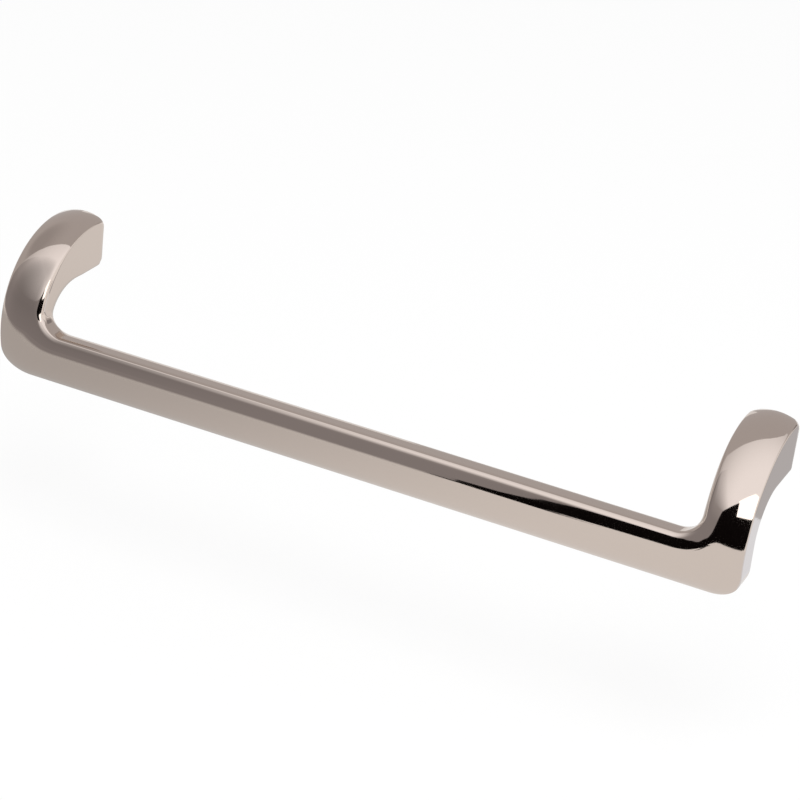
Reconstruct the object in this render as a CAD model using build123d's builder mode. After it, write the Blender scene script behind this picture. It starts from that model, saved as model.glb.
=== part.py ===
"""Cabinet pull cast in one piece: a crowned strap that forms two curved legs and a bar.

The legs leave two upright feet, run forward and turn down, so the bar hangs in front of the
cabinet and below the screws. Sizes are in millimetres. X runs along the bar, the feet stand
on the plane Y = 0 with the cabinet on the +Y side, and Z is up. The origin is midway between
the two screw holes.
"""

import os
from math import asin, cos, radians, sin, tan

from build123d import *

# Overall layout
hole_spacing = 160.0
leg_width = 10.0
foot_underside = 6.0

# Arc followed by both front creases, seen from the side
crease_radius = 20.4
crease_centre_y = -4.3
crease_centre_z = -16.0

# Bar
bar_top = -13.9
bar_bottom = -25.8
bar_back = -18.7
bar_top_tilt = 7.5
elbow_radius = 9.0

# Corners of the U, seen from the front
inner_corner_radius = 5.0
outer_corner_radius = 6.5

# Crowned front, raised above the crease arc
crown_rise = 1.2
inner_crease_fillet = 0.9
outer_crease_fillet = 0.4
back_fillet = 0.5

# Blind tapped holes for M4 machine screws
tap_radius = 1.65
tap_depth = 11.0
tap_chamfer = 0.5
drill_point_angle = 118.0

# Loft through the crown: where it starts behind the feet, its sections and its depth
start_angle = 125.0
leg_steps = 7
corner_steps = 6
bar_steps = 5
margin = 1.5
loft_depth = 12.0

# Room around the finished shape for the cutting steps
clearance = 20.0
tolerance = 0.01

inner_x = (hole_spacing - leg_width) / 2
outer_x = (hole_spacing + leg_width) / 2


def arc_length(z):
    """Length along the crease arc from its foremost point up to height z."""
    return crease_radius * asin((z - crease_centre_z) / crease_radius)


def wrap(point, rise=0.0):
    """Lay a flat point (x, length along the crease arc) onto the crease cylinder, or above it."""
    angle = point.Y / crease_radius
    radius = crease_radius + rise
    return Vector(
        point.X,
        crease_centre_y - radius * cos(angle),
        crease_centre_z + radius * sin(angle),
    )


def is_rear(face):
    """True for the back of the bar, the elbows and the undersides of the legs."""
    centre = face.center()
    on_back = abs(centre.Y - bar_back) < tolerance
    on_underside = abs(centre.Z + foot_underside) < tolerance
    on_elbow = face.geom_type == GeomType.CYLINDER and abs(face.radius - elbow_radius) < tolerance
    return on_back or on_underside or on_elbow


def front_creases(solid):
    """Edges of the crowned face, without the two arcs on the feet."""
    crowned = solid.faces().filter_by(GeomType.BSPLINE).sort_by(SortBy.AREA)[-1]
    return crowned.edges().filter_by(lambda edge: (edge @ 0.5).Y < -tolerance)


def is_outer(edge):
    """True for the crease along the outside of the U."""
    middle = edge @ 0.5
    return abs(middle.X) > hole_spacing / 2 or middle.Z < crease_centre_z


top_length = arc_length(bar_top)
bottom_length = arc_length(bar_bottom)
corner_x = inner_x - inner_corner_radius
corner_length = top_length + inner_corner_radius
start_length = crease_radius * radians(start_angle)

# Creases of one half, drawn flat as (x, length along the arc)
inner_leg = Line((inner_x, start_length), (inner_x, corner_length))
outer_leg = Line((outer_x, start_length), (outer_x, corner_length))
inner_corner = RadiusArc((inner_x, corner_length), (corner_x, top_length), inner_corner_radius)
outer_corner = FilletPolyline(
    (outer_x, corner_length),
    (outer_x, bottom_length),
    (corner_x, bottom_length),
    radius=outer_corner_radius,
)
inner_bar = Line((corner_x, top_length), (0, top_length))
outer_bar = Line((corner_x, bottom_length), (0, bottom_length))

half = []
for inner, outer, steps in (
    (inner_leg, outer_leg, leg_steps),
    (inner_corner, outer_corner, corner_steps),
    (inner_bar, outer_bar, bar_steps),
):
    for step in range(steps):
        half.append((inner @ (step / steps), outer @ (step / steps)))
half.append((inner_bar @ 1, outer_bar @ 1))
mirrored = [(Vector(-a.X, a.Y), Vector(-b.X, b.Y)) for a, b in reversed(half[:-1])]

with BuildPart() as pull:
    # Crowned strap, lofted from foot to foot
    for flat_inner, flat_outer in half + mirrored:
        inner = wrap(flat_inner)
        across = wrap(flat_outer) - inner
        outward = wrap((flat_inner + flat_outer) / 2, crown_rise) - inner - across / 2
        width = across.length
        height = outward.length
        drop = height * margin * (width + margin) / (width / 2) ** 2
        with BuildSketch(Plane(inner, x_dir=across, z_dir=across.cross(outward))):
            with BuildLine():
                crown = ThreePointArc((-margin, -drop), (width / 2, height), (width + margin, -drop))
                Polyline(crown @ 1, (width + margin, -loft_depth), (-margin, -loft_depth), crown @ 0)
            make_face()
    loft()

    # Outline seen from the front, with the two lower corners rounded
    with BuildSketch(Plane.XZ):
        with BuildLine():
            FilletPolyline(
                (outer_x, clearance),
                (outer_x, bar_bottom),
                (-outer_x, bar_bottom),
                (-outer_x, clearance),
                radius=outer_corner_radius,
            )
            Line((-outer_x, clearance), (outer_x, clearance))
        make_face()
    extrude(amount=clearance * 2, both=True, mode=Mode.INTERSECT)

    # Flat feet, level underside and upright back of the bar
    with BuildSketch(Plane.YZ):
        with BuildLine():
            FilletPolyline(
                (0, -foot_underside),
                (bar_back, -foot_underside),
                (bar_back, bar_bottom - clearance),
                radius=elbow_radius,
            )
            Polyline(
                (bar_back, bar_bottom - clearance),
                (bar_back - clearance, bar_bottom - clearance),
                (bar_back - clearance, clearance),
                (0, clearance),
                (0, -foot_underside),
            )
        make_face()
    extrude(amount=outer_x + clearance, both=True, mode=Mode.INTERSECT)

    # Window between the legs, tilted so that the bar's upper face falls towards the back
    crease_point = wrap(Vector(0, top_length))
    window_plane = Plane(crease_point, x_dir=(1, 0, 0), z_dir=(0, -1, 0)).rotated((-bar_top_tilt, 0, 0))
    with BuildSketch(window_plane):
        with BuildLine():
            FilletPolyline(
                (inner_x, clearance * 2),
                (inner_x, 0),
                (-inner_x, 0),
                (-inner_x, clearance * 2),
                radius=inner_corner_radius,
            )
            Line((-inner_x, clearance * 2), (inner_x, clearance * 2))
        make_face()
    extrude(amount=clearance * 2, both=True, mode=Mode.SUBTRACT)

    # Softened edges: the back ones, then the two front creases
    rear = pull.faces().filter_by(is_rear)
    walls = pull.faces().filter_by(lambda face: not is_rear(face))
    rear_edges = [edge for edge in rear.edges() if edge in walls.edges() and (edge @ 0.5).Y < -tolerance]
    fillet(rear_edges, back_fillet)
    fillet(front_creases(pull).filter_by(is_outer), outer_crease_fillet)
    fillet(front_creases(pull).filter_by(lambda edge: not is_outer(edge)), inner_crease_fillet)

    # Blind tapped holes in the feet
    with Locations(Plane(origin=(0, 0, 0), x_dir=(1, 0, 0), z_dir=(0, 1, 0))):
        with GridLocations(hole_spacing, 0, 2, 1):
            CounterSinkHole(tap_radius, tap_radius + tap_chamfer, tap_depth, 90)
            with Locations((0, 0, -tap_depth)):
                Cone(
                    bottom_radius=0,
                    top_radius=tap_radius,
                    height=tap_radius / tan(radians(drill_point_angle / 2)),
                    align=(Align.CENTER, Align.CENTER, Align.MAX),
                    mode=Mode.SUBTRACT,
                )

pull.part.label = "pull"
os.makedirs("parts", exist_ok=True)
export_step(pull.part, "parts/pull.step")
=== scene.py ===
"""Looks of the cabinet pull: its strap in polished nickel, in a plain light studio."""

from math import asin, cos, pi, radians, sin, sqrt

import bmesh
import bpy
from mathutils import Matrix, Vector


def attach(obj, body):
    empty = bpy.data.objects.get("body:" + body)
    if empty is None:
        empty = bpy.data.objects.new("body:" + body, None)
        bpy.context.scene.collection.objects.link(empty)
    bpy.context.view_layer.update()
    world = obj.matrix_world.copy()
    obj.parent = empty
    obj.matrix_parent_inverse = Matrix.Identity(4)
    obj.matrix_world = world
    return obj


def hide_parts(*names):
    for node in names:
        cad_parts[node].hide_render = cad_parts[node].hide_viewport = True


bl_info = {
    "name": "Cabinet Pull",
    "version": (1, 0, 0),
    "blender": (4, 5, 0),
    "location": "View3D > Sidebar > Cabinet Pull",
    "description": "Models the cabinet pull's strap, plates it with nickel and sets up its studio",
    "category": "Object",
}

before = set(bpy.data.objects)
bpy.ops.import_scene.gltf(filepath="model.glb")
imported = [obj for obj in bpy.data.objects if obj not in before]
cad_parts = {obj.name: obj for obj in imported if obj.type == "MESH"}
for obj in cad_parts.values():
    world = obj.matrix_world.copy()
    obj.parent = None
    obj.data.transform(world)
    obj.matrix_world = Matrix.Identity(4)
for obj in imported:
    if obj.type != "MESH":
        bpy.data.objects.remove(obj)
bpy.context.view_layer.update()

NODE = "pull"
BODY = "root"

# Steps across the strap's front, outer wall, rear and inner wall, and round each edge between them
WALL_STEPS = (22, 10, 14, 10)
EDGE_STEPS = 8

# Narrow first and last step of each wall, as a share of it
WALL_MARGIN = 0.04

# Steps along the strap, and round the edge of the foot's end
FOOT_STEPS = 16
LEG_STEPS = 40
CORNER_STEPS = 40
BAR_STEPS = 28
FOOT_END_STEPS = 8

# Share of the leg, from its crest, where its inner edges start to get softer
SOFTENING_START = 2 / 7

SHARP_ANGLE = radians(40)
MERGE_DISTANCE = 1e-7


def length_property(name, description, default):
    """Size in metres that the sidebar shows as a length."""
    return bpy.props.FloatProperty(
        name=name,
        description=description,
        subtype="DISTANCE",
        unit="LENGTH",
        precision=5,
        default=default,
    )


def share_property(name, description, default):
    """Number from 0 to 1."""
    return bpy.props.FloatProperty(
        name=name,
        description=description,
        subtype="FACTOR",
        min=0.0,
        max=1.0,
        default=default,
    )


def angle_property(name, description, default):
    """Angle in radians that the sidebar shows in degrees."""
    return bpy.props.FloatProperty(
        name=name,
        description=description,
        subtype="ANGLE",
        default=default,
    )


class StrapSettings(bpy.types.PropertyGroup):
    """Sizes of the crowned strap, as in the pull's CAD source, and its finer roundings."""

    hole_spacing: length_property("Hole spacing", "Between the two screw holes", 0.160)
    leg_width: length_property("Leg width", "Of each leg and foot, along the bar", 0.010)
    crease_radius: length_property("Crease radius", "Of the arc of both front creases", 0.0204)
    crease_centre_y: length_property("Crease centre Y", "Of that arc, from the cabinet", -0.0043)
    crease_centre_z: length_property("Crease centre Z", "Of that arc, from the screw holes", -0.016)
    underside: length_property("Underside", "Level of the legs' underside", -0.006)
    elbow_radius: length_property("Elbow radius", "From the underside to the bar's back", 0.009)
    bar_back: length_property("Bar back", "Where the back of the bar stands", -0.0187)
    bar_top: length_property("Bar top", "Level of the bar's upper crease", -0.0139)
    bar_bottom: length_property("Bar bottom", "Level of the bar's lower crease", -0.0258)
    inner_corner: length_property("Inner corner", "Radius inside the U", 0.005)
    outer_corner: length_property("Outer corner", "Radius outside the U", 0.0065)
    crown_rise: length_property("Crown rise", "Of the front between its two creases", 0.0012)
    inner_crease_leg: length_property("Inner crease, legs", "Rounding of the front's inner edge", 0.0003)
    inner_crease_corner: length_property("Inner crease, corners", "Rounding of the same edge", 0.0017)
    inner_crease_bar: length_property("Inner crease, bar", "Rounding of the same edge", 0.0010)
    outer_crease: length_property("Outer crease", "Rounding of the front's outer edge", 0.00035)
    inner_back_leg: length_property("Inner back edge, legs", "Rounding of the inner edge behind", 0.0005)
    inner_back_bar: length_property("Inner back edge, bar", "Rounding of the same edge", 0.0028)
    outer_back: length_property("Outer back edge", "Rounding of the outer edge behind", 0.0004)
    foot_top: length_property("Foot top", "Rounding of the foot's end at its top", 0.0004)
    foot_bottom: length_property("Foot bottom", "Rounding of the foot's end at its bottom", 0.0015)
    foot_side: length_property("Foot side", "Rounding of the foot's end at its sides", 0.0008)
    foot_corner: length_property("Foot corner", "Rounding of the foot's long edges at their end", 0.0014)
    foot_corner_run: length_property("Foot corner run", "Length over which it grows", 0.0024)
    tap_radius: length_property("Tap radius", "Of the screw hole", 0.00165)
    tap_chamfer: length_property("Tap chamfer", "At the mouth of the screw hole", 0.0005)
    tap_depth: length_property("Tap depth", "Of the screw hole's straight part", 0.011)
    tap_point: length_property("Tap point", "Of the drill's cone at the bottom", 0.001)


class NickelSettings(bpy.types.PropertyGroup):
    """Colour and polish of the nickel plate."""

    tint: bpy.props.FloatVectorProperty(
        name="Tint",
        description="Colour that the plate gives to what it reflects",
        subtype="COLOR",
        size=3,
        min=0.0,
        max=1.0,
        default=(0.64, 0.55, 0.49),
    )
    roughness: share_property("Roughness", "Blur of the reflections on the cleanest polish", 0.04)
    cloudiness: share_property("Cloudiness", "Roughness that the dullest places have more", 0.03)
    cloud_scale: bpy.props.FloatProperty(
        name="Cloud scale",
        description="How many clean and dull places follow each other in a metre",
        default=220.0,
    )
    grain_depth: length_property("Grain depth", "Relief of the casting on the flat sides", 0.00001)
    grain_scale: bpy.props.FloatProperty(
        name="Grain scale",
        description="How many grains follow each other in a metre",
        default=1300.0,
    )
    crown_grain: share_property("Crown grain", "Share of the grain that the other faces keep", 0.03)


class StudioSettings(bpy.types.PropertyGroup):
    """Camera, floor, tent and lamp of the studio."""

    azimuth: angle_property("Azimuth", "Turn of the camera towards the right end", radians(24.128))
    elevation: angle_property("Elevation", "Height of the camera, as an angle", radians(26.283))
    roll: angle_property("Roll", "Turn of the camera about its line of sight", radians(-5.773))
    distance: length_property("Distance", "From the camera to the point it looks at", 0.51935)
    aim: bpy.props.FloatVectorProperty(
        name="Aim",
        description="Point that the camera looks at",
        subtype="XYZ",
        unit="LENGTH",
        size=3,
        default=(0.0022151, -0.0064067, -0.0136725),
    )
    lens: bpy.props.FloatProperty(
        name="Lens",
        description="Focal length on a sensor 36 mm wide",
        subtype="DISTANCE_CAMERA",
        default=112.47,
    )
    floor_height: length_property("Floor height", "Level below the screw holes", -0.058)
    floor_radius: length_property("Floor radius", "Of the round floor", 3.0)
    ceiling_height: length_property("Ceiling height", "Of the tent, above the screw holes", 0.45)
    tent_radius: length_property("Tent radius", "Of the tent's round wall", 1.25)
    lamp_size: length_property("Lamp size", "Side of the lamp above the pull", 0.8)
    lamp_power: bpy.props.FloatProperty(
        name="Lamp power",
        description="Of the lamp above the pull",
        subtype="POWER",
        unit="POWER",
        default=6.0,
    )
    lamp_place: bpy.props.FloatVectorProperty(
        name="Lamp place",
        description="Where the lamp above the pull hangs",
        subtype="XYZ",
        unit="LENGTH",
        size=3,
        default=(0.25, -0.25, 1.0),
    )
    floor_glow: share_property("Floor glow", "Share of the seen floor that takes no shadow", 0.75)
    world_light: share_property("World light", "Strength of the world where it isn't seen", 0.75)


def eased(low, high, share):
    """Go smoothly from low to high while the share goes from 0 to 1."""
    share = min(max(share, 0.0), 1.0)
    return low + (high - low) * share * share * (3 - 2 * share)


def front_point(sizes, place, rise):
    """Lay a flat place (x, length along the crease arc) on the front, raised above the arc."""
    angle = place.y / sizes.crease_radius
    reach = sizes.crease_radius + rise
    if angle > pi / 2:
        behind = -sizes.crease_radius * cos(angle)
        above = sqrt(reach * reach - behind * behind)
    else:
        behind = -reach * cos(angle)
        above = reach * sin(angle)
    return Vector((place.x, sizes.crease_centre_y + behind, sizes.crease_centre_z + above))


def rear_point(sizes, place):
    """Point behind a flat place: on the legs' underside, on the elbow or on the back of the bar."""
    angle = place.y / sizes.crease_radius
    centre = Vector((sizes.crease_centre_y, sizes.crease_centre_z))
    elbow = Vector((sizes.bar_back + sizes.elbow_radius, sizes.underside - sizes.elbow_radius))
    if angle > pi / 2:
        return Vector((place.x, centre.x - sizes.crease_radius * cos(angle), sizes.underside))
    top_angle = asin((sizes.bar_top - centre.y) / sizes.crease_radius)
    bottom_angle = asin((sizes.bar_bottom - centre.y) / sizes.crease_radius)
    inward = Vector((-cos(max(angle, top_angle)), sin(max(angle, top_angle))))
    reach = min((sizes.bar_back - centre.x) / inward.x, (sizes.underside - centre.y) / inward.y)
    point = centre + inward * reach
    if point.x < elbow.x and point.y > elbow.y:
        offset = centre - elbow
        nearest = -inward.dot(offset)
        reach = nearest + sqrt(nearest * nearest - offset.length_squared + sizes.elbow_radius**2)
        point = centre + inward * reach
    if angle < top_angle:
        share = (top_angle - angle) / (top_angle - bottom_angle)
        height = point.y + (sizes.bar_bottom - point.y) * share
        above = max(height - elbow.y, 0.0)
        point = Vector((elbow.x - sqrt(sizes.elbow_radius**2 - above * above), height))
    return Vector((place.x, point.x, point.y))


def strap_section(sizes, inner, outer, inner_crease, outer_crease, inner_back):
    """Closed ring of points round the strap from its inner to its outer crease, edges rounded."""
    width = (outer - inner).length
    crown_radius = (width * width / 4 + sizes.crown_rise**2) / (2 * sizes.crown_rise)
    crown_drop = crown_radius - sizes.crown_rise

    def front(share):
        aside = width * (share - 0.5)
        rise = sqrt(crown_radius**2 - aside * aside) - crown_drop
        return front_point(sizes, inner.lerp(outer, share), rise)

    def rear(share):
        return rear_point(sizes, outer.lerp(inner, share))

    def outer_wall(share):
        return front(1.0).lerp(rear(0.0), share)

    def inner_wall(share):
        return rear(1.0).lerp(front(0.0), share)

    walls = (front, outer_wall, rear, inner_wall)
    roundings = (inner_crease, outer_crease, sizes.outer_back, inner_back)
    ring = []
    for index, (wall, steps) in enumerate(zip(walls, WALL_STEPS)):
        following = walls[(index + 1) % len(walls)]
        rounding = roundings[(index + 1) % len(walls)]
        length = (wall(1.0) - wall(0.0)).length
        start = roundings[index] / length
        end = 1.0 - rounding / length
        even = [step / steps for step in range(1, steps)]
        shares = [0.0, WALL_MARGIN, *even, 1.0 - WALL_MARGIN, 1.0]
        ring += [wall(start + (end - start) * share) for share in shares]

        # Rounded edge that leads into the next wall
        edge = wall(1.0)
        leave = wall(end)
        arrive = following(rounding / (following(1.0) - following(0.0)).length)
        for step in range(1, EDGE_STEPS):
            share = step / EDGE_STEPS
            ring.append(leave.lerp(edge, share).lerp(edge.lerp(arrive, share), share))
    return ring


def strap_sections(sizes):
    """Rings of half the strap, from the flat end of a foot to the middle of the bar."""
    inner_x = (sizes.hole_spacing - sizes.leg_width) / 2
    outer_x = (sizes.hole_spacing + sizes.leg_width) / 2
    arc = sizes.crease_radius
    top = arc * asin((sizes.bar_top - sizes.crease_centre_z) / arc)
    bottom = arc * asin((sizes.bar_bottom - sizes.crease_centre_z) / arc)
    corner = top + sizes.inner_corner
    crest = arc * pi / 2
    end = arc * (pi / 2 + asin(-sizes.crease_centre_y / arc))
    middle = Vector((inner_x - sizes.inner_corner, corner))
    rings = []

    # Foot and leg: all edges get rounder at the foot's end, the inner ones towards the corner too
    for start, stop, steps in ((end, crest, FOOT_STEPS), (crest, corner, LEG_STEPS)):
        for step in range(steps):
            length = start + (stop - start) * step / steps
            down_leg = (crest - length) / (crest - corner)
            softer = (down_leg - SOFTENING_START) / (1 - SOFTENING_START)
            roundings = (
                eased(sizes.inner_crease_leg, sizes.inner_crease_corner, softer),
                sizes.outer_crease,
                eased(sizes.inner_back_leg, sizes.inner_back_bar, softer),
            )
            from_end = (end - length) / sizes.foot_corner_run
            roundings = [eased(sizes.foot_corner, rounding, from_end) for rounding in roundings]
            inner, outer = Vector((inner_x, length)), Vector((outer_x, length))
            rings.append(strap_section(sizes, inner, outer, *roundings))

    # Corner: an arc inside, and outside two straight runs with an arc between them
    radius = sizes.outer_corner
    down = corner - bottom - radius
    round_length = radius * pi / 2
    across = outer_x - radius - middle.x
    for step in range(CORNER_STEPS):
        angle = pi / 2 * step / CORNER_STEPS
        inner = middle + sizes.inner_corner * Vector((cos(angle), -sin(angle)))
        travel = (down + round_length + across) * step / CORNER_STEPS
        if travel < down:
            outer = Vector((outer_x, corner - travel))
        elif travel < down + round_length:
            turn = (travel - down) / radius
            outer = Vector((outer_x - radius + radius * cos(turn), bottom + radius - radius * sin(turn)))
        else:
            outer = Vector((outer_x - radius - (travel - down - round_length), bottom))
        crease = eased(sizes.inner_crease_corner, sizes.inner_crease_bar, step / CORNER_STEPS)
        roundings = (crease, sizes.outer_crease, sizes.inner_back_bar)
        rings.append(strap_section(sizes, inner, outer, *roundings))

    # Bar
    roundings = (sizes.inner_crease_bar, sizes.outer_crease, sizes.inner_back_bar)
    for step in range(BAR_STEPS + 1):
        x = middle.x * (1 - step / BAR_STEPS)
        rings.append(strap_section(sizes, Vector((x, top)), Vector((x, bottom)), *roundings))
    return rings


def foot_end_rings(sizes, end):
    """Rings that round the edge of a foot's flat end, from the face that rests on the cabinet."""
    centre = sum(end, Vector()) / len(end)
    low = min(point.z for point in end)
    high = max(point.z for point in end)
    base = Vector((centre.x, 0, low))
    rings = []
    for step in range(FOOT_END_STEPS):
        turn = pi / 2 * step / FOOT_END_STEPS
        drawn_in = 1 - sin(turn)
        across = 1.0 - sizes.foot_side / (sizes.leg_width / 2) * drawn_in
        upright = 1.0 - (sizes.foot_top + sizes.foot_bottom) / (high - low) * drawn_in
        shrink = Matrix.Diagonal((across, 1.0, upright))
        ring = []
        for point in end:
            share = (point.z - low) / (high - low)
            depth = sizes.foot_bottom + (sizes.foot_top - sizes.foot_bottom) * share
            move = Vector((0, -depth * (1 - cos(turn)), sizes.foot_bottom * drawn_in))
            ring.append(base + shrink @ (point - base) + move)
        rings.append(ring)
    return rings


def extrude_ring(mesh, edges, place):
    """Extrude a closed run of edges, put each new vertex in its place and return the new run."""
    grown = bmesh.ops.extrude_edge_only(mesh, edges=edges)["geom"]
    verts = {item for item in grown if isinstance(item, bmesh.types.BMVert)}
    for vert in verts:
        vert.co = place(vert)
    new_edges = (item for item in grown if isinstance(item, bmesh.types.BMEdge))
    return [edge for edge in new_edges if verts.issuperset(edge.verts)]


def new_object(name, mesh):
    """Object in the scene with the shape of a bmesh, which is freed."""
    data = bpy.data.meshes.new(name)
    mesh.to_mesh(data)
    mesh.free()
    made = bpy.data.objects.new(name, data)
    bpy.context.scene.collection.objects.link(made)
    return made


def shader_nodes(owner):
    """Cleared node tree of a material or world: its nodes, its links and its output socket."""
    owner.use_nodes = True
    nodes = owner.node_tree.nodes
    nodes.clear()
    kind = "ShaderNodeOutputWorld" if isinstance(owner, bpy.types.World) else "ShaderNodeOutputMaterial"
    return nodes, owner.node_tree.links, nodes.new(kind).inputs["Surface"]


def seen_directly(nodes, links):
    """1 for camera, glossy and transmission rays, which all show the same white background."""
    path = nodes.new("ShaderNodeLightPath")
    total = path.outputs["Is Camera Ray"]
    for name in ("Is Glossy Ray", "Is Transmission Ray"):
        both = nodes.new("ShaderNodeMath")
        both.operation = "MAXIMUM"
        links.new(total, both.inputs[0])
        links.new(path.outputs[name], both.inputs[1])
        total = both.outputs["Value"]
    return total


def measure_from(nodes, links, point, operation):
    """Node that measures from a point to each place of a card, as a vector or as a distance."""
    place = nodes.new("ShaderNodeTexCoord")
    measure = nodes.new("ShaderNodeVectorMath")
    measure.operation = operation
    measure.inputs[1].default_value = point
    links.new(place.outputs["Object"], measure.inputs[0])
    return measure


def map_value(nodes, links, value, span, ends, interpolation):
    """Socket of a number that goes from one end to the other while the value crosses its span."""
    change = nodes.new("ShaderNodeMapRange")
    change.interpolation_type = interpolation
    change.inputs["From Min"].default_value, change.inputs["From Max"].default_value = span
    change.inputs["To Min"].default_value, change.inputs["To Max"].default_value = ends
    links.new(value, change.inputs["Value"])
    return change.outputs["Result"]


def by_distance(point, span, ends):
    """Fade that goes from one end to the other with the distance from a point."""

    def fade(nodes, links):
        distance = measure_from(nodes, links, point, "DISTANCE").outputs["Value"]
        return map_value(nodes, links, distance, span, ends, "SMOOTHSTEP")

    return fade


def by_slope(start, slope):
    """Fade from 1 at the start of a slope to 0 at its end."""

    def fade(nodes, links):
        offset = measure_from(nodes, links, start, "SUBTRACT")
        share = nodes.new("ShaderNodeVectorMath")
        share.operation = "DOT_PRODUCT"
        share.inputs[1].default_value = slope / slope.length_squared
        links.new(offset.outputs["Vector"], share.inputs[0])
        return map_value(nodes, links, share.outputs["Value"], (0.0, 1.0), (1.0, 0.0), "SMOOTHSTEP")

    return fade


def by_angle(pivot, span):
    """Fade from 1 to 0 with the angle at a pivot, which grows from level at its left upwards."""

    def fade(nodes, links):
        offset = measure_from(nodes, links, pivot, "SUBTRACT")
        parts = nodes.new("ShaderNodeSeparateXYZ")
        leftward = nodes.new("ShaderNodeMath")
        leftward.operation = "MULTIPLY"
        leftward.inputs[1].default_value = -1.0
        angle = nodes.new("ShaderNodeMath")
        angle.operation = "ARCTAN2"
        links.new(offset.outputs["Vector"], parts.inputs["Vector"])
        links.new(parts.outputs["X"], leftward.inputs[0])
        links.new(parts.outputs["Z"], angle.inputs[0])
        links.new(leftward.outputs["Value"], angle.inputs[1])
        return map_value(nodes, links, angle.outputs["Value"], span, (1.0, 0.0), "LINEAR")

    return fade


def even_light(name, colour):
    """Even glow of a studio card."""
    material = bpy.data.materials.new(name)
    nodes, links, surface = shader_nodes(material)
    glow = nodes.new("ShaderNodeEmission")
    glow.inputs["Color"].default_value = (*colour, 1.0)
    links.new(glow.outputs["Emission"], surface)
    return material


def blended_light(name, near, far, fade):
    """Glow of a studio card that goes from near, where the fade is 0, to far, where it is 1."""
    material = bpy.data.materials.new(name)
    nodes, links, surface = shader_nodes(material)
    glow = nodes.new("ShaderNodeEmission")
    blend = nodes.new("ShaderNodeMix")
    blend.data_type = "RGBA"
    blend.inputs["A"].default_value = (*near, 1.0)
    blend.inputs["B"].default_value = (*far, 1.0)
    links.new(fade(nodes, links), blend.inputs["Factor"])
    links.new(blend.outputs["Result"], glow.inputs["Color"])
    links.new(glow.outputs["Emission"], surface)
    return material


def veiled_light(name, colour, fade):
    """Glow of a studio card that covers what lies behind where the fade is 1, and clears at 0."""
    material = bpy.data.materials.new(name)
    nodes, links, surface = shader_nodes(material)
    glow = nodes.new("ShaderNodeEmission")
    glow.inputs["Color"].default_value = (*colour, 1.0)
    clear = nodes.new("ShaderNodeBsdfTransparent")
    veil = nodes.new("ShaderNodeMixShader")
    links.new(fade(nodes, links), veil.inputs["Fac"])
    links.new(clear.outputs["BSDF"], veil.inputs[1])
    links.new(glow.outputs["Emission"], veil.inputs[2])
    links.new(veil.outputs["Shader"], surface)
    return material


def cut_card(edge, flat, level):
    """Card with the given edge, in the plane where the axis called flat has the given level."""
    mesh = bmesh.new()
    mesh.faces.new([mesh.verts.new((x, level, y) if flat == "Y" else (x, y, level)) for x, y in edge])
    return mesh


def panel(low, high, flat, level):
    """Rectangular card from its low corner to its high one."""
    return cut_card((low, (high[0], low[1]), high, (low[0], high[1])), flat, level)


def add_card(name, mesh, material):
    """Stage card that only reflections show, so it stands in no other view's way."""
    card = new_object(name, mesh)
    card.data.materials.append(material)
    card.visible_camera = False
    card.visible_diffuse = False
    card.visible_transmission = False
    card.visible_shadow = False


class PULL_OT_strap(bpy.types.Operator):
    """Model the crowned strap with its feet and screw holes, in place of the plain CAD solid"""

    bl_idname = "pull.strap"
    bl_label = "Strap"

    def execute(self, context):
        sizes = context.scene.strap_settings
        sections = strap_sections(sizes)
        beyond_rounding = [ring for ring in sections if ring[0].y < -sizes.foot_bottom]
        rings = foot_end_rings(sizes, sections[0]) + beyond_rounding
        hole_x = sizes.hole_spacing / 2

        # The strap is extruded from ring to ring
        mesh = bmesh.new()
        order = mesh.verts.layers.int.new("order")
        bmesh.ops.create_circle(mesh, segments=len(rings[0]), radius=sizes.leg_width)
        for index, vert in enumerate(mesh.verts):
            vert[order] = index
            vert.co = rings[0][index]
        foot_edges = mesh.edges[:]
        edges = foot_edges
        for ring in rings[1:]:
            edges = extrude_ring(mesh, edges, lambda vert: ring[vert[order]])

        # Screw hole, extruded inward from the foot's end: mouth, chamfer, straight part, drill point
        def on_hole(vert, depth, radius):
            aside = Vector((vert.co.x - hole_x, 0, vert.co.z)).normalized()
            return Vector((hole_x, -depth, 0)) + aside * radius

        edges = foot_edges
        for depth, radius in (
            (0.0, sizes.tap_radius + sizes.tap_chamfer),
            (sizes.tap_chamfer, sizes.tap_radius),
            (sizes.tap_depth, sizes.tap_radius),
            (sizes.tap_depth + sizes.tap_point, 0.0),
        ):
            edges = extrude_ring(mesh, edges, lambda vert: on_hole(vert, depth, radius))

        # Other half
        half = mesh.verts[:] + mesh.edges[:] + mesh.faces[:]
        bmesh.ops.mirror(mesh, geom=half, merge_dist=MERGE_DISTANCE, axis="X")
        bmesh.ops.remove_doubles(mesh, verts=mesh.verts, dist=MERGE_DISTANCE)
        bmesh.ops.recalc_face_normals(mesh, faces=mesh.faces)
        for face in mesh.faces:
            face.smooth = True
        strap = new_object("pull_strap", mesh)
        strap.data.set_sharp_from_angle(angle=SHARP_ANGLE)
        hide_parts(NODE)
        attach(strap, BODY)
        return {"FINISHED"}


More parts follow.
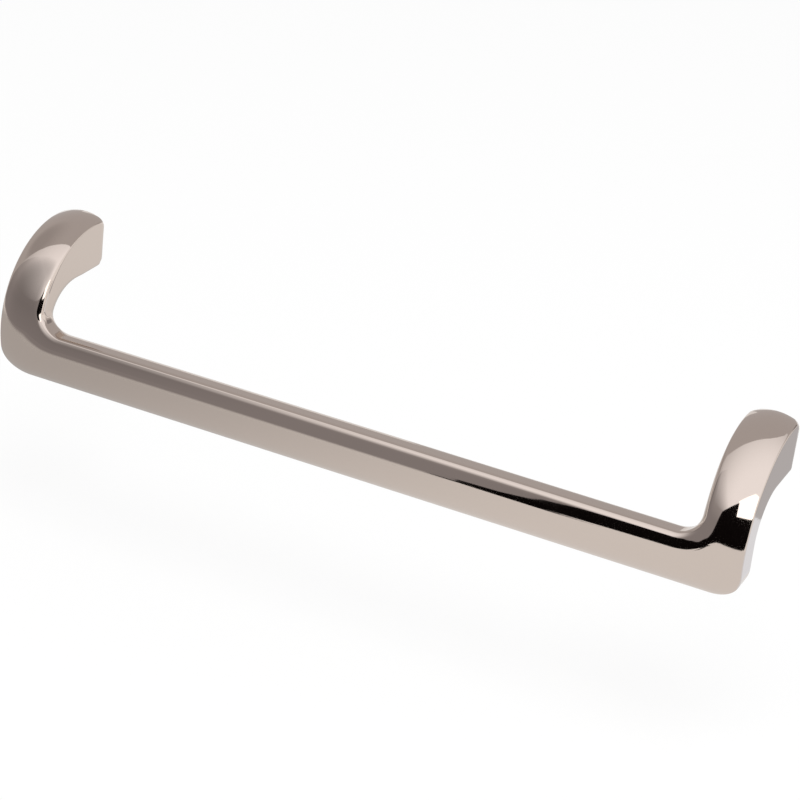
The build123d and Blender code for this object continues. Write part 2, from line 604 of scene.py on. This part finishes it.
class PULL_OT_nickel(bpy.types.Operator):
    """Plate the strap with polished nickel"""

    bl_idname = "pull.nickel"
    bl_label = "Nickel plate"

    def execute(self, context):
        settings = context.scene.nickel_settings
        material = bpy.data.materials.new("polished_nickel")
        nodes, links, surface = shader_nodes(material)
        shader = nodes.new("ShaderNodeBsdfPrincipled")
        shader.inputs["Base Color"].default_value = (*settings.tint, 1.0)
        shader.inputs["Metallic"].default_value = 1.0
        place = nodes.new("ShaderNodeTexCoord")

        # Cloudy polish: the buffing wheel leaves it a little duller in places
        cloud = nodes.new("ShaderNodeTexNoise")
        cloud.inputs["Scale"].default_value = settings.cloud_scale
        cloud.inputs["Detail"].default_value = 4.0
        links.new(place.outputs["Object"], cloud.inputs["Vector"])
        clean_to_dull = (0.3, 0.7)
        roughness = (settings.roughness, settings.roughness + settings.cloudiness)
        polish = map_value(nodes, links, cloud.outputs["Fac"], clean_to_dull, roughness, "LINEAR")
        links.new(polish, shader.inputs["Roughness"])

        # The flat sides are polished less, so a trace of the casting's grain shows on them
        parts = nodes.new("ShaderNodeSeparateXYZ")
        sideways = nodes.new("ShaderNodeMath")
        sideways.operation = "ABSOLUTE"
        grain = nodes.new("ShaderNodeTexNoise")
        grain.inputs["Scale"].default_value = settings.grain_scale
        grain.inputs["Detail"].default_value = 3.0
        relief = nodes.new("ShaderNodeMath")
        relief.operation = "MULTIPLY"
        bump = nodes.new("ShaderNodeBump")
        bump.inputs["Distance"].default_value = settings.grain_depth
        links.new(place.outputs["Normal"], parts.inputs["Vector"])
        links.new(parts.outputs["X"], sideways.inputs[0])
        turned_to_flat = (0.95, 0.999)
        kept = (settings.crown_grain, 1.0)
        flat = map_value(nodes, links, sideways.outputs["Value"], turned_to_flat, kept, "LINEAR")
        links.new(place.outputs["Object"], grain.inputs["Vector"])
        links.new(grain.outputs["Fac"], relief.inputs[0])
        links.new(flat, relief.inputs[1])
        links.new(relief.outputs["Value"], bump.inputs["Height"])
        links.new(bump.outputs["Normal"], shader.inputs["Normal"])
        links.new(shader.outputs["BSDF"], surface)
        bpy.data.objects["pull_strap"].data.materials.append(material)
        return {"FINISHED"}


class PULL_OT_cards(bpy.types.Operator):
    """Stand the light and dark cards round the pull that its polish reflects"""

    bl_idname = "pull.cards"
    bl_label = "Cards"

    def execute(self, context):
        settings = context.scene.studio_settings
        floor = settings.floor_height
        ceiling = settings.ceiling_height
        black = (0.0, 0.0, 0.0)
        dark = (0.31, 0.295, 0.303)
        grey = (0.54, 0.52, 0.52)
        light = (1.25, 1.26, 1.30)

        # Ceiling of the tent: brightest above the right end, dull behind the pull
        ceiling_edge_y = 0.5
        from_right = by_distance((0.52, -0.59, ceiling), (0.5, 1.45), (0.0, 1.0))
        lit = blended_light("overhead_light", light, (0.60, 0.59, 0.60), from_right)
        dull = even_light("overhead_dull", grey)
        for name, kept, material in (("overhead_light", True, lit), ("overhead_dull", False, dull)):
            mesh = panel((-1.3, -1.3), (1.3, 1.3), "Z", ceiling)
            bmesh.ops.bisect_plane(
                mesh,
                geom=mesh.verts[:] + mesh.edges[:] + mesh.faces[:],
                plane_co=(0.0, ceiling_edge_y, 0.0),
                plane_no=(0.0, -1.0, 0.0),
                clear_inner=kept,
                clear_outer=not kept,
            )
            add_card(name, mesh, material)

        # Dull flag hung low behind the pull: its curved edge shows across both legs
        flag_level = 0.12
        flag_far_y = 0.6
        edge = (
            (-0.60, -0.090),
            (-0.309, -0.057),
            (-0.20, -0.043),
            (-0.145, -0.031),
            (-0.10, -0.017),
            (-0.065, -0.004),
            (-0.018, 0.003),
            (0.036, 0.017),
            (0.065, 0.029),
            (0.091, 0.044),
            (0.108, 0.062),
            (0.118, 0.079),
            (0.129, 0.107),
            (0.14, 0.16),
        )
        mesh = bmesh.new()
        border = [mesh.verts.new((x, y, flag_level)) for x, y in edge]
        run = [mesh.edges.new(pair) for pair in zip(border, border[1:])]
        for item in bmesh.ops.extrude_edge_only(mesh, edges=run)["geom"]:
            if isinstance(item, bmesh.types.BMVert):
                item.co.y = flag_far_y
        from_foot = by_distance((-0.2, 0.0, flag_level), (0.03, 0.12), (0.0, 1.0))
        flag_light = blended_light("dull_flag", (0.42, 0.40, 0.40), grey, from_foot)
        add_card("dull_flag", mesh, flag_light)

        # Wall of the tent all round
        radius = settings.tent_radius
        height = ceiling - floor
        mesh = bmesh.new()
        bmesh.ops.create_cone(
            mesh, segments=64, radius1=radius, radius2=radius, depth=height, cap_ends=False
        )
        bmesh.ops.translate(mesh, vec=(0, 0, (ceiling + floor) / 2), verts=mesh.verts)
        from_right = by_distance((1.3, 0.0, 0.1), (0.7, 1.4), (0.0, 1.0))
        add_card("tent_wall", mesh, blended_light("tent_wall", (1.1, 1.1, 1.1), grey, from_right))

        # In front: a wall that darkens down to the left, and a veil over its middle
        edge = (
            (-1.2, floor),
            (0.0, floor),
            (0.0, -0.025),
            (0.3, -0.025),
            (0.3, 0.44),
            (-1.2, 0.44),
        )
        rising = by_angle((0.1, 0.0, 0.0), (radians(6), radians(48)))
        add_card("front_wall", cut_card(edge, "Y", -0.166), veiled_light("front_wall", dark, rising))
        veil_y = -0.05
        from_middle = by_distance((-0.083, veil_y, 0.037), (0.0, 0.08), (0.42, 0.0))
        mesh = panel((-0.18, -0.02), (0.0, 0.13), "Y", veil_y)
        add_card("left_veil", mesh, veiled_light("left_veil", black, from_middle))

        # In front too: a black card and a small bright light
        black_light = even_light("black_card", (0.004, 0.003, 0.003))
        edge = (
            (0.0, floor),
            (-0.026, floor),
            (-0.024, -0.042),
            (-0.012, -0.036),
            (-0.003, -0.02),
            (0.006, 0.02),
            (0.014, 0.045),
            (0.03, 0.055),
            (0.06, 0.073),
            (0.094, 0.091),
            (0.098, 0.0435),
            (0.4, 0.0435),
            (0.4, floor),
            (0.2, floor),
            (0.153, -0.054),
            (0.102, -0.046),
            (0.054, -0.041),
            (0.035, -0.042),
            (0.02, -0.047),
            (0.006, -0.053),
        )
        add_card("black_card", cut_card(edge, "Y", -0.16), black_light)
        edge = (
            (0.094, 0.0435),
            (0.33, 0.0435),
            (0.33, 0.165),
            (0.2, 0.165),
            (0.144, 0.133),
            (0.09, 0.098),
        )
        mesh = cut_card(edge, "Y", -0.161)
        add_card("small_light", mesh, even_light("small_light", (2.2, 2.2, 2.2)))

        # Lying on the floor: its shade towards the left, and the foot of the cards in front
        from_shade = by_distance((-0.195, -0.04, floor), (0.09, 0.24), (0.43, 0.10))
        mesh = panel((-0.6, -0.26), (0.2, 0.3), "Z", floor + 0.0005)
        add_card("floor_shade", mesh, veiled_light("floor_shade", black, from_shade))
        from_wall = by_slope(Vector((0.0, -0.165, 0.0)), Vector((0.0, 0.045, 0.0)))
        mesh = panel((-1.2, -0.17), (-0.02, -0.11), "Z", floor + 0.001)
        add_card("floor_dark", mesh, veiled_light("floor_dark", dark, from_wall))
        edge = ((-0.03, -0.16), (-0.03, -0.147), (-0.007, -0.142), (0.005, -0.142), (0.016, -0.16))
        add_card("floor_black", cut_card(edge, "Z", floor + 0.0015), black_light)

        # Far behind: a light card for the bar's rear edge, a dark one that shows twice mirrored.
        # Beside the right end: a dull strip and a white one on the floor, for its outer side.
        back_y = 1.0
        side_level = floor + 0.0017
        for name, low, high, flat, level, colour in (
            ("back_light", (-0.66, floor), (-0.38, 0.285), "Y", back_y, (0.9, 0.9, 0.9)),
            ("back_dark", (0.3, 0.05), (0.66, 0.36), "Y", back_y, dark),
            ("side_dull", (0.095, 0.068), (0.3, 0.3), "Z", side_level, (0.56, 0.56, 0.58)),
            ("side_white", (0.095, -0.03), (0.2, 0.068), "Z", side_level, (0.92, 0.97, 1.04)),
        ):
            add_card(name, panel(low, high, flat, level), even_light(name, colour))
        return {"FINISHED"}


class PULL_OT_studio(bpy.types.Operator):
    """Set up the floor, the world, the lamp and the camera"""

    bl_idname = "pull.studio"
    bl_label = "Studio"

    def execute(self, context):
        settings = context.scene.studio_settings
        scene = context.scene
        scene.view_settings.view_transform = "Standard"

        # Floor, which keeps the shadow
        mesh = bmesh.new()
        bmesh.ops.create_circle(mesh, cap_ends=True, segments=96, radius=settings.floor_radius)
        bmesh.ops.translate(mesh, vec=(0, 0, settings.floor_height), verts=mesh.verts)
        floor = new_object("studio_floor", mesh)
        material = bpy.data.materials.new("studio_floor")
        nodes, links, surface = shader_nodes(material)
        diffuse = nodes.new("ShaderNodeBsdfDiffuse")
        diffuse.inputs["Color"].default_value = (0.9, 0.9, 0.9, 1.0)
        glow = nodes.new("ShaderNodeEmission")
        share = nodes.new("ShaderNodeMath")
        share.operation = "MULTIPLY"
        share.inputs[1].default_value = settings.floor_glow
        links.new(seen_directly(nodes, links), share.inputs[0])
        mix = nodes.new("ShaderNodeMixShader")
        links.new(share.outputs["Value"], mix.inputs["Fac"])
        links.new(diffuse.outputs["BSDF"], mix.inputs[1])
        links.new(glow.outputs["Emission"], mix.inputs[2])
        links.new(mix.outputs["Shader"], surface)
        floor.data.materials.append(material)

        # World: white where it is seen, a little less as a light
        world = bpy.data.worlds.new("studio_world")
        nodes, links, surface = shader_nodes(world)
        background = nodes.new("ShaderNodeBackground")
        background.inputs["Color"].default_value = (1.0, 1.0, 1.0, 1.0)
        seen = seen_directly(nodes, links)
        strength = map_value(nodes, links, seen, (0.0, 1.0), (settings.world_light, 1.0), "LINEAR")
        links.new(strength, background.inputs["Strength"])
        links.new(background.outputs["Background"], surface)
        scene.world = world

        # Lamp
        lamp = bpy.data.lights.new("overhead_lamp", "AREA")
        lamp.size = settings.lamp_size
        lamp.energy = settings.lamp_power
        lamp_object = bpy.data.objects.new("overhead_lamp", lamp)
        lamp_object.location = settings.lamp_place
        lamp_object.rotation_euler = (-lamp_object.location).to_track_quat("-Z", "Y").to_euler()
        lamp_object.visible_glossy = False
        scene.collection.objects.link(lamp_object)

        # Camera
        toward = Vector(
            (
                -sin(settings.azimuth) * cos(settings.elevation),
                cos(settings.azimuth) * cos(settings.elevation),
                -sin(settings.elevation),
            )
        )
        level = Vector((cos(settings.azimuth), sin(settings.azimuth), 0.0))
        turn = Matrix.Rotation(settings.roll, 3, toward)
        side = turn @ level
        up = turn @ level.cross(toward)
        lens = bpy.data.cameras.new("camera")
        lens.lens = settings.lens
        lens.sensor_width = 36.0
        lens.clip_start = 0.01
        camera = bpy.data.objects.new("camera", lens)
        place = Matrix.Translation(Vector(settings.aim) - toward * settings.distance)
        camera.matrix_world = place @ Matrix((side, up, -toward)).transposed().to_4x4()
        scene.collection.objects.link(camera)
        scene.camera = camera
        return {"FINISHED"}


class PULL_PT_steps(bpy.types.Panel):
    """Settings of the pull and the steps that dress it"""

    bl_idname = "PULL_PT_steps"
    bl_label = "Cabinet Pull"
    bl_space_type = "VIEW_3D"
    bl_region_type = "UI"
    bl_category = "Cabinet Pull"

    def draw(self, context):
        layout = self.layout
        scene = context.scene
        for settings in (scene.strap_settings, scene.nickel_settings, scene.studio_settings):
            for name in settings.__annotations__:
                layout.prop(settings, name)
        for step in STEPS:
            layout.operator(step.bl_idname)


STEPS = (PULL_OT_strap, PULL_OT_nickel, PULL_OT_cards, PULL_OT_studio)
CLASSES = (StrapSettings, NickelSettings, StudioSettings, *STEPS, PULL_PT_steps)


def register():
    """Add the classes to Blender, and the settings to every scene."""
    for cls in CLASSES:
        bpy.utils.register_class(cls)
    bpy.types.Scene.strap_settings = bpy.props.PointerProperty(type=StrapSettings)
    bpy.types.Scene.nickel_settings = bpy.props.PointerProperty(type=NickelSettings)
    bpy.types.Scene.studio_settings = bpy.props.PointerProperty(type=StudioSettings)


def unregister():
    """Take the settings and the classes out again."""
    del bpy.types.Scene.studio_settings
    del bpy.types.Scene.nickel_settings
    del bpy.types.Scene.strap_settings
    for cls in reversed(CLASSES):
        bpy.utils.unregister_class(cls)


def main():
    """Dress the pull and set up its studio."""
    register()
    bpy.ops.pull.strap()
    bpy.ops.pull.nickel()
    bpy.ops.pull.cards()
    bpy.ops.pull.studio()


if __name__ == "__main__":
    main()
